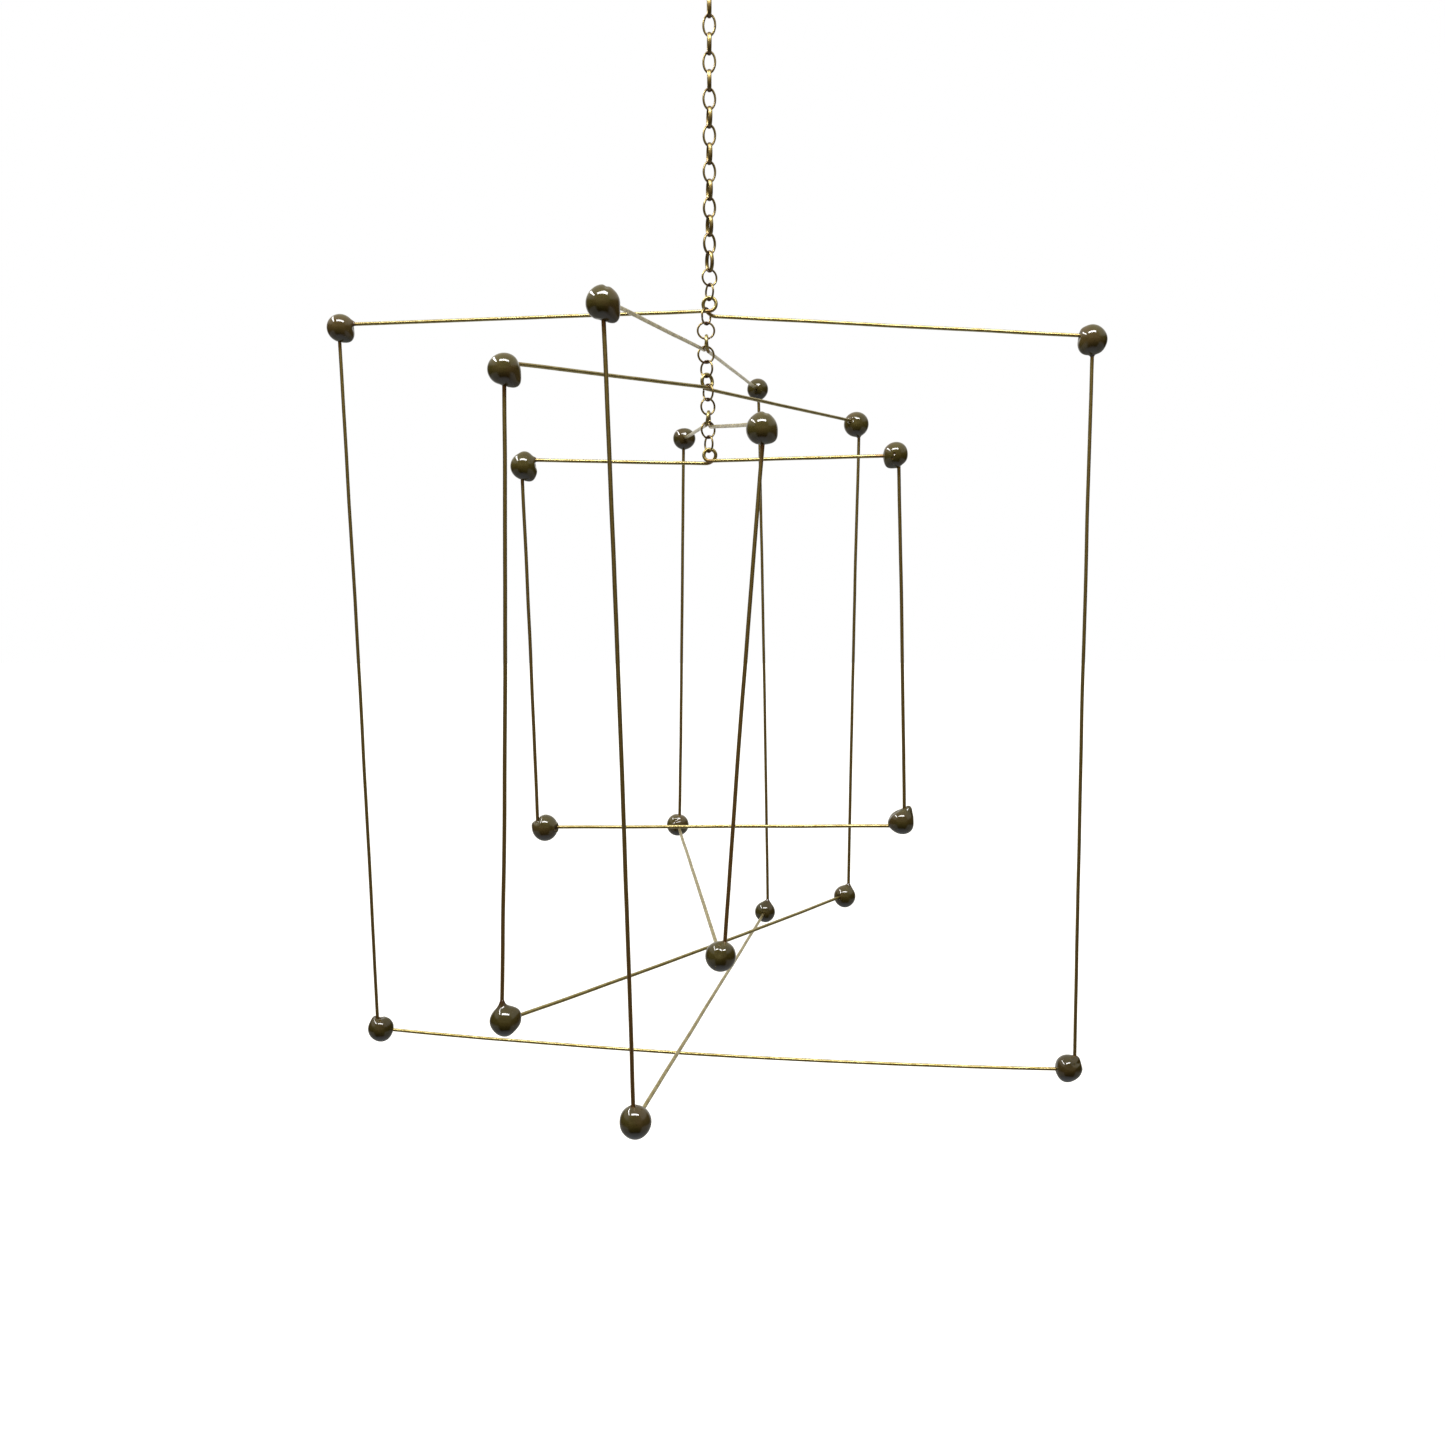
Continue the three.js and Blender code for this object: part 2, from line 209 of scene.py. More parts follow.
bands = {  # where one colour of the studio gives way to the next, from and to
    "frontAbove": (-0.02, 0.2),  # by height, 1 is straight up
    "above": (0.2, 0.48),
    "below": (-0.2, -0.45),
    "ceiling": (0.78, 0.94),
    "table": (-0.76, -0.97),
    "front": (0.5, 0.85),  # by facing, 1 is straight behind the camera
    "behind": (-0.55, -0.93),
    "highFront": (0.35, 0.8),
    "lowFront": (0.5, 0.8),
}


def makeCamera(sizes):
    data = bpy.data.cameras.new("camera")
    data.lens = sizes["lens"]
    data.sensor_width = sizes["sensor"]
    data.clip_start = sizes["nearest"]
    camera = bpy.data.objects.new("camera", data)
    camera.location = sizes["place"]
    lookUp = 90 - sizes["lookDown"]
    camera.rotation_euler = (math.radians(lookUp), 0, math.radians(-sizes["lookRight"]))
    scene.collection.objects.link(camera)
    scene.camera = camera


def makeFloor(sizes):
    half = sizes["floorSize"] / 2
    level = sizes["floorLevel"]
    mesh = bpy.data.meshes.new("floor")
    corners = [(-half, -half, level), (half, -half, level), (half, half, level), (-half, half, level)]
    mesh.from_pydata(corners, [], [(0, 1, 2, 3)])
    floor = bpy.data.objects.new("floor", mesh)
    scene.collection.objects.link(floor)
    paint, graph = newFinish("pale floor")
    place = graph.add("ShaderNodeTexCoord", output="Object")
    patch = noise(graph, place, sizes["patchScale"], 2)
    closeFinish(graph, {
        "Base Color": graph.mixed(patch, colour(*sizes["paint"]), colour(*sizes["paintPatch"])),
        "Roughness": sizes["roughness"],
        "Emission Color": colour(1, 1, 1),
        "Emission Strength": sizes["glow"],
    })
    mesh.materials.append(paint)
    floor.visible_glossy = False
    floor.visible_diffuse = False


def makeWorld():
    world = bpy.data.worlds.new("studio")
    scene.world = world
    world.use_nodes = True
    graph = Graph(world.node_tree)
    direction = graph.add("ShaderNodeTexCoord", output="Generated")
    depth = graph.add("ShaderNodeSeparateXYZ", {}, {"Vector": direction}, "Y")
    height = graph.other(depth, "Z")
    tint = {name: colour(*value) for name, value in studio.items()}
    across = graph.other(depth, "X")
    facing = (0 - depth) / (across * across + depth * depth) ** 0.5

    def banded(value, band, first, second):
        return graph.mixed(graph.ranged(value, *bands[band]), first, second)

    face = banded(height, "frontAbove", tint["front"], tint["frontAbove"])
    level = banded(facing, "front", tint["side"], face)
    level = banded(facing, "behind", level, tint["behind"])
    above = banded(facing, "highFront", tint["high"], tint["highFront"])
    below = banded(facing, "lowFront", tint["lowSide"], tint["lowFront"])
    room = banded(height, "above", level, above)
    room = banded(height, "below", room, below)
    room = banded(height, "ceiling", room, tint["high"])
    room = banded(height, "table", room, tint["table"])
    seen = graph.add("ShaderNodeLightPath", output="Is Camera Ray")
    shown = graph.mixed(seen, room, colour(1, 1, 1))
    light = graph.add("ShaderNodeBackground", {}, {"Color": shown, "Strength": 1.0})
    output = graph.tree.nodes.new("ShaderNodeOutputWorld")
    graph.tree.links.new(light.socket, output.inputs["Surface"])


def makeSoftbox(name, box):
    data = bpy.data.lights.new(name, "AREA")
    data.shape = "RECTANGLE"
    data.size = box["width"]
    data.size_y = box["height"]
    data.energy = box["power"]
    light = bpy.data.objects.new(name, data)
    light.location = box["place"]
    away = Vector(box["place"]) - Vector(stageSizes["middle"])
    light.rotation_euler = away.to_track_quat("Z", "Y").to_euler()
    light.visible_camera = False
    scene.collection.objects.link(light)


makeCamera(cameraSizes)
makeFloor(stageSizes)
makeWorld()
for name, box in softboxes.items():
    makeSoftbox(name + " softbox", box)
scene.view_settings.view_transform = "Standard"
print("camera, floor and lights ready")


# finishes, with the scales of their noises per metre
glazeLook = {
    "olive": (0.044, 0.034, 0.007),
    "cloud": (0.06, 0.049, 0.013),
    "brown": (0.07, 0.044, 0.017),
    "speck": (0.02, 0.014, 0.007),
    "painted_shade": (0.014, 0.009, 0.002),  # painted shade: the whole glaze darker, mostly on the lower beads, for the shade and dark reflections on them
    "thin_glaze_and_shade": (0.05, 0.015, 0.007),  # reddish brown where the glaze runs thin round the wires; in the pits and sunk mouths it also darkens the hollow as painted shade
    "cloudScale": 170,
    "cloudEdge": (0.35, 0.66),
    "brownScale": 95,
    "brownEdge": (0.45, 0.65),
    "brownShare": 0.6,
    "speckScale": 1600,
    "speckEdge": (0.64, 0.74),
    "speckShare": 0.5,
    "roughness": 0.045,
    "cloudRoughness": 0.025,
    "refraction": 1.54,
    "swellScale": 240,
    "rippleScale": 1100,
    "rippleShare": 0.08,
    "swellDepth": 0.00004,
    "swellStrength": 0.6,
}

brassLook = {  # what both kinds of brass share
    "patchEdge": (0.36, 0.64),
    "dullRoughness": 0.08,
    "darkRoughness": 0.1,
    "coat": 0.45,
    "coatRoughness": 0.2,
    "dents": 1.7,  # times the scale of the spots
    "grainScale": 5200,
    "grainShare": 0.04,
    "dentDepth": 0.000009,
    "dentStrength": 0.8,
}

drawnBrass = {
    "bright": (0.42, 0.352, 0.145),
    "dull": (0.3, 0.235, 0.07),
    # torch browning near the beads, and painted shade round the crossing under the eye
    "darkColour": (0.25, 0.13, 0.045),
    "roughness": 0.33,
    "spots": 300,
}

antiqueBrass = {
    "bright": (0.33, 0.255, 0.09),
    "dull": (0.19, 0.135, 0.048),
    # painted shade where rings and links bear on each other
    "darkColour": (0.08, 0.03, 0.015),
    "roughness": 0.34,
    "spots": 400,
}


def makeGlaze(look):
    finish, graph = newFinish("olive glaze")
    place = graph.add("ShaderNodeTexCoord", output="Object")
    cloud = graph.ranged(noise(graph, place, look["cloudScale"], 3), *look["cloudEdge"])
    brown = graph.ranged(noise(graph, place, look["brownScale"], 2), *look["brownEdge"])
    speck = graph.ranged(noise(graph, place, look["speckScale"], 2), *look["speckEdge"])
    base = graph.mixed(cloud, colour(*look["olive"]), colour(*look["cloud"]))
    base = graph.mixed(brown * look["brownShare"], base, colour(*look["brown"]))
    base = graph.mixed(speck * look["speckShare"], base, colour(*look["speck"]))
    # painted shade over a whole bead, mostly on the lower beads
    base = graph.mixed(attribute(graph, "painted_shade"), base, colour(*look["painted_shade"]))
    # the thin glaze's reddish brown, which in the pits and sunk mouths is also painted shade
    base = graph.mixed(attribute(graph, "thin_glaze_and_shade"), base, colour(*look["thin_glaze_and_shade"]))
    ripple = noise(graph, place, look["rippleScale"], 2) * look["rippleShare"]
    swell = noise(graph, place, look["swellScale"], 2) + ripple
    closeFinish(graph, {
        "Base Color": base,
        "Roughness": look["roughness"] + cloud * look["cloudRoughness"],
        "IOR": look["refraction"],
        "Normal": bumped(graph, swell, look["swellDepth"], look["swellStrength"]),
    })
    return finish


def makeBrass(name, kind, look):
    finish, graph = newFinish(name)
    place = graph.add("ShaderNodeTexCoord", output="Object")
    patch = graph.ranged(noise(graph, place, kind["spots"], 4, 0.6), *look["patchEdge"])
    dent = noise(graph, place, kind["spots"] * look["dents"], 2)
    grain = noise(graph, place, look["grainScale"], 2)
    darkening = attribute(graph, "browning_and_shade")  # torch browning on the wires, and painted shade at the eye's crossing and where rings and links bear; an attribute named "heat" would be taken for smoke
    base = graph.mixed(patch, colour(*kind["dull"]), colour(*kind["bright"]))
    base = graph.mixed(darkening, base, colour(*kind["darkColour"]))
    rougher = (1 - patch) * look["dullRoughness"]
    uneven = dent + grain * look["grainShare"]
    closeFinish(graph, {
        "Base Color": base,
        "Metallic": 1.0,
        "Coat Weight": look["coat"],
        "Coat Roughness": look["coatRoughness"],
        "Roughness": kind["roughness"] + rougher + darkening * look["darkRoughness"],
        "Normal": bumped(graph, uneven, look["dentDepth"], look["dentStrength"]),
    })
    return finish


glaze = makeGlaze(glazeLook)
brassWire = makeBrass("drawn brass", drawnBrass, brassLook)
brassChain = makeBrass("antique brass", antiqueBrass, brassLook)
print("finishes ready")


# geometry nodes helpers
def newTree(name, inputs):
    tree = bpy.data.node_groups.new(name, "GeometryNodeTree")
    tree.interface.new_socket("Geometry", in_out="OUTPUT", socket_type="NodeSocketGeometry")
    tree.interface.new_socket("Geometry", in_out="INPUT", socket_type="NodeSocketGeometry")
    for label, kind in inputs.items():
        tree.interface.new_socket(label, in_out="INPUT", socket_type="NodeSocket" + kind)
    graph = Graph(tree)
    start = tree.nodes.new("NodeGroupInput")
    return graph, {s.name: Signal(graph, s) for s in start.outputs if s.name}


def closeTree(graph, geometry, finish):
    geometry = graph.add("GeometryNodeRealizeInstances", {}, {"Geometry": geometry})
    geometry = graph.add("GeometryNodeSetShadeSmooth", {}, {"Geometry": geometry})
    geometry = graph.add("GeometryNodeSetMaterial", {}, {"Geometry": geometry, "Material": finish})
    end = graph.tree.nodes.new("NodeGroupOutput")
    graph.tree.links.new(geometry.socket, end.inputs["Geometry"])
    return graph.tree


def grown(name, tree, values, data=None):  # runs a tree once and keeps its result as a plain mesh
    source = bpy.data.objects.new(name + "_source", data or bpy.data.meshes.new(name + "_source"))
    scene.collection.objects.link(source)
    modifier = source.modifiers.new("shape", "NODES")
    modifier.node_group = tree
    for item in tree.interface.items_tree:
        if item.in_out == "INPUT" and item.name in values:
            modifier[item.identifier] = values[item.name]
    graph = bpy.context.evaluated_depsgraph_get()
    mesh = bpy.data.meshes.new_from_object(source.evaluated_get(graph), depsgraph=graph)
    mesh.name = name
    source.modifiers.remove(modifier)
    bpy.data.objects.remove(source)
    piece = bpy.data.objects.new(name, mesh)
    scene.collection.objects.link(piece)
    return piece


def swept(graph, path, sizes):  # a round wire along a path
    section = graph.add("GeometryNodeCurvePrimitiveCircle", {"mode": "RADIUS"}, {
        "Resolution": sizes["Sides"], "Radius": sizes["Wire radius"]})
    return graph.add("GeometryNodeCurveToMesh", {}, {
        "Curve": path, "Profile Curve": section, "Fill Caps": True})


# stores the darkening, which is torch browning on the wire ends and painted shade where parts bear and
# cross
def darkened(graph, curve, share):
    return graph.add("GeometryNodeStoreNamedAttribute", {"data_type": "FLOAT", "domain": "POINT"}, {
        "Geometry": curve, "Name": "browning_and_shade", "Value": share})


def curveHeight(graph):
    place = graph.add("GeometryNodeInputPosition")
    return graph.add("ShaderNodeSeparateXYZ", {}, {"Vector": place}, "Y")


def paintedShadeAtEnds(graph, curve, halfHeight, look):  # painted shade, darker where a ring bears on its neighbours
    share = curveHeight(graph) / halfHeight
    share = graph.add("ShaderNodeMath", {"operation": "ABSOLUTE"}, {0: share})
    darkening = graph.ranged(share, look["paintedShadeFrom"], 1.0, 0.0, look["darkened"])
    return darkened(graph, curve, darkening)


def handIn(piece, node):
    piece.name = "finished_" + node
    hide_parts(node)
    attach(piece, "root")


# rings
ringSizes = {
    "bore": 6.5,
    "wire": 0.9,
    "cut": 3.0,  # degrees left open by the saw
    "spring": 0.12,  # how far the two cut ends stand apart sideways
    "sides": 16,
    "steps": 72,
}

hangRingSizes = {
    "bore": 16.0,
    "wire": 2.0,
    "cut": 1.2,
    "spring": 0.1,
    "sides": 24,
    "steps": 96,
    "cutTurn": 205,
}

# painted shade towards the ends of each ring
ringLook = {
    "paintedShadeFrom": 0.72,  # as a share of the way from the middle to the top
    "darkened": 0.85,
}


def makeRingTree():
    graph, sizes = newTree("split ring", {
        "Half width": "Float", "Half height": "Float", "Wire radius": "Float", "Cut": "Float",
        "Cut turn": "Float", "Spring": "Float", "Sides": "Int", "Steps": "Int",
        "Turn": "Vector", "Place": "Vector", "Finish": "Material",
    })
    arc = graph.add("GeometryNodeCurveArc", {"mode": "RADIUS"}, {
        "Resolution": sizes["Steps"], "Radius": 1.0,
        "Start Angle": sizes["Cut turn"] + sizes["Cut"] / 2, "Sweep Angle": math.tau - sizes["Cut"]})
    share = graph.add("GeometryNodeSplineParameter", output="Factor")
    aside = graph.add("ShaderNodeCombineXYZ", {}, {"Z": (share - 0.5) * sizes["Spring"]})
    oval = graph.add("ShaderNodeCombineXYZ", {}, {
        "X": sizes["Half width"], "Y": sizes["Half height"], "Z": 1.0})
    arc = graph.add("GeometryNodeTransform", {}, {"Geometry": arc, "Scale": oval})
    arc = graph.add("GeometryNodeSetPosition", {}, {"Geometry": arc, "Offset": aside})
    arc = paintedShadeAtEnds(graph, arc, sizes["Half height"], ringLook)
    ring = swept(graph, arc, sizes)
    ring = graph.add("GeometryNodeTransform", {}, {
        "Geometry": ring, "Rotation": (math.pi / 2, 0, 0)})
    ring = graph.add("GeometryNodeTransform", {}, {
        "Geometry": ring, "Rotation": sizes["Turn"], "Translation": sizes["Place"]})
    return closeTree(graph, ring, sizes["Finish"])


ringTree = makeRingTree()


# top and bottom are the heights of the ring's inner surface, in millimetres
def makeRing(name, sizes, top, bottom, shift, turn, cutTurn):
    height = (top - bottom) / 2 + sizes["wire"] / 2
    piece = grown(name, ringTree, {
        "Half width": (sizes["bore"] + sizes["wire"]) / 2 * mm,
        "Half height": height * mm,
        "Wire radius": sizes["wire"] / 2 * mm,
        "Cut": math.radians(sizes["cut"]),
        "Cut turn": math.radians(cutTurn),
        "Spring": sizes["spring"] * mm,
        "Sides": sizes["sides"],
        "Steps": sizes["steps"],
        "Turn": (0, 0, math.radians(turn)),
        "Place": (shift * mm, 0, (top + bottom) / 2 * mm),
        "Finish": brassChain,
    })
    handIn(piece, name)


# chain
chainSizes = {
    "wire": 1.0,  # seen from the front of a link
    "band": 1.8,  # seen from its side
    "length": 7.5,  # of the opening
    "width": 4.1,
    "bite": 0.08,  # how far the links are pressed into each other
    "count": 17,
    "twist": 30,  # degrees that the chain turns by its lower end
    "sway": 2.0,  # degrees that a link may lean by itself
    "swaySeed": 4,
    "sides": 16,
    "steps": 48,
    # painted shade towards the ends of each link
    "paintedShadeFrom": 0.66,
    "darkened": 0.85,
}


def makeChainTree():
    graph, sizes = newTree("oval link chain", {
        "Half width": "Float", "Stretch": "Float", "Wire radius": "Float", "Band": "Float",
        "Pitch": "Float", "Count": "Int", "Twist": "Float", "Sway": "Float", "Seed": "Int",
        "Sides": "Int", "Steps": "Int", "Place": "Vector", "Finish": "Material",
    })
    ring = graph.add("GeometryNodeCurvePrimitiveCircle", {"mode": "RADIUS"}, {
        "Resolution": sizes["Steps"], "Radius": sizes["Half width"]})
    rise = curveHeight(graph) / sizes["Half width"]
    drawn = graph.add("ShaderNodeCombineXYZ", {}, {"Y": rise * sizes["Stretch"]})
    oval = graph.add("GeometryNodeSetPosition", {}, {"Geometry": ring, "Offset": drawn})
    oval = paintedShadeAtEnds(graph, oval, sizes["Half width"] + sizes["Stretch"], chainSizes)
    link = swept(graph, oval, sizes)
    broad = graph.add("ShaderNodeCombineXYZ", {}, {"X": 1.0, "Y": 1.0, "Z": sizes["Band"]})
    link = graph.add("GeometryNodeTransform", {}, {"Geometry": link, "Scale": broad})
    link = graph.add("GeometryNodeTransform", {}, {
        "Geometry": link, "Rotation": (math.pi / 2, 0, 0)})
    step = graph.add("ShaderNodeCombineXYZ", {}, {"Z": 0 - sizes["Pitch"]})
    line = graph.add("GeometryNodeMeshLine", {"mode": "OFFSET"}, {
        "Count": sizes["Count"], "Start Location": sizes["Place"], "Offset": step})
    index = graph.add("GeometryNodeInputIndex")
    share = index / (sizes["Count"] - 1)
    lean = [graph.add("FunctionNodeRandomValue", {"data_type": "FLOAT"}, {
        "Min_001": 0 - sizes["Sway"], "Max_001": sizes["Sway"], "Seed": sizes["Seed"] + i}, "Value_001")
        for i in range(3)]
    turn = (index + 1) * (math.pi / 2) + share * share * sizes["Twist"] + lean[0] * 2
    rotation = graph.add("ShaderNodeCombineXYZ", {}, {"X": lean[1], "Y": lean[2], "Z": turn})
    links = graph.add("GeometryNodeInstanceOnPoints", {}, {
        "Points": line, "Instance": link, "Rotation": rotation})
    return closeTree(graph, links, sizes["Finish"])


def makeChain(name, sizes, pitch, first):
    piece = grown(name, makeChainTree(), {
        "Half width": (sizes["width"] + sizes["wire"]) / 2 * mm,
        "Stretch": (pitch - sizes["width"]) / 2 * mm,
        "Wire radius": sizes["wire"] / 2 * mm,
        "Band": sizes["band"] / sizes["wire"],
        "Pitch": pitch * mm,
        "Count": sizes["count"],
        "Twist": math.radians(sizes["twist"]),
        "Sway": math.radians(sizes["sway"]),
        "Seed": sizes["swaySeed"],
        "Sides": sizes["sides"],
        "Steps": sizes["steps"],
        "Place": (0, 0, first * mm),
        "Finish": brassChain,
    })
    handIn(piece, name)


# the frames' shapes, in millimetres
shared = {
    "wire": 1.6,
    "hangGap": 0.2,
    "strandGap": 0.2,
    "wireStop": 2.0,  # bead centre to wire end
    "bead": 12.0,
    "eyeStart": -90,
    "eyeEnd": 220,
    "armBend": 2.2,
    "eyeSteps": 48,
    "bendSteps": 12,
    "bowSteps": 24,
    "frameSeed": 31.7,
    "sideSeed": 7.3,
}

